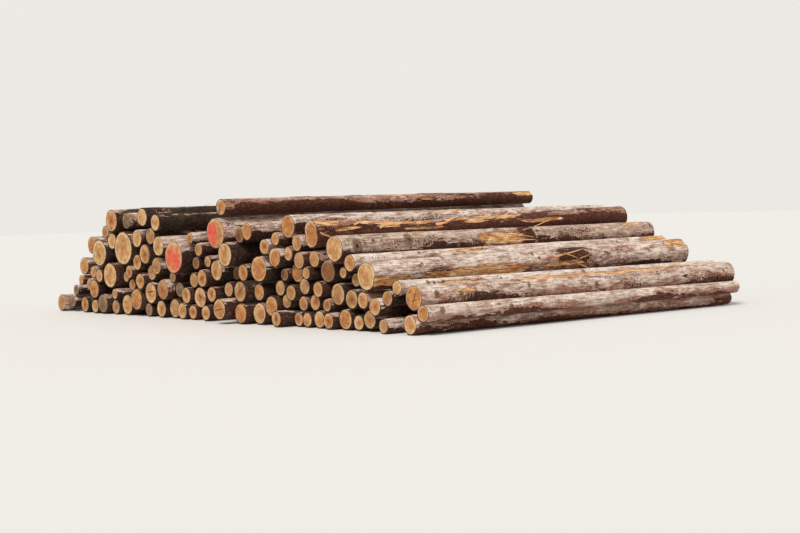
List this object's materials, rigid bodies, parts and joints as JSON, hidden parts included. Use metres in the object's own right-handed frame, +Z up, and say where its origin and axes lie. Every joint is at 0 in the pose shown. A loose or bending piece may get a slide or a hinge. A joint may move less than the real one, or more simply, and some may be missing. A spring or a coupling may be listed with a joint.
{
  "type": "stack of logs",
  "caption": "Roadside stack of felled spruce roundwood: partly peeled tapered logs of one length, laid side by side and resting on each other, with two paint-marked ends.",
  "frame": {"origin": "on the ground, in the middle of the stack", "axes": "+X to the right along the front face, +Y along the logs from the front face to the back one, +Z up"},
  "size_m": [6.398, 4.3518, 1.1989],
  "materials": {
    "peeled_spruce": "matt, bark half peeled off pale wood by harvester rollers, sawn ends tan to ochre",
    "marked_spruce": "matt, as the other logs, with a faded red spray mark over the sawn end",
    "grey_barked_spruce": "matt grey-beige bark with dark branch knots and one torn patch of fresh wood"
  },
  "bodies": {
    "root": {"bottom_course": "peeled_spruce", "second_course": "peeled_spruce", "third_course": "peeled_spruce", "fourth_course": "peeled_spruce", "fifth_course": "peeled_spruce", "sixth_course": "peeled_spruce", "top_course": "peeled_spruce", "lower_marked_log": "marked_spruce", "upper_marked_log": "marked_spruce", "forked_log": "peeled_spruce", "crown_log": "grey_barked_spruce"}
  },
  "joints": []
}
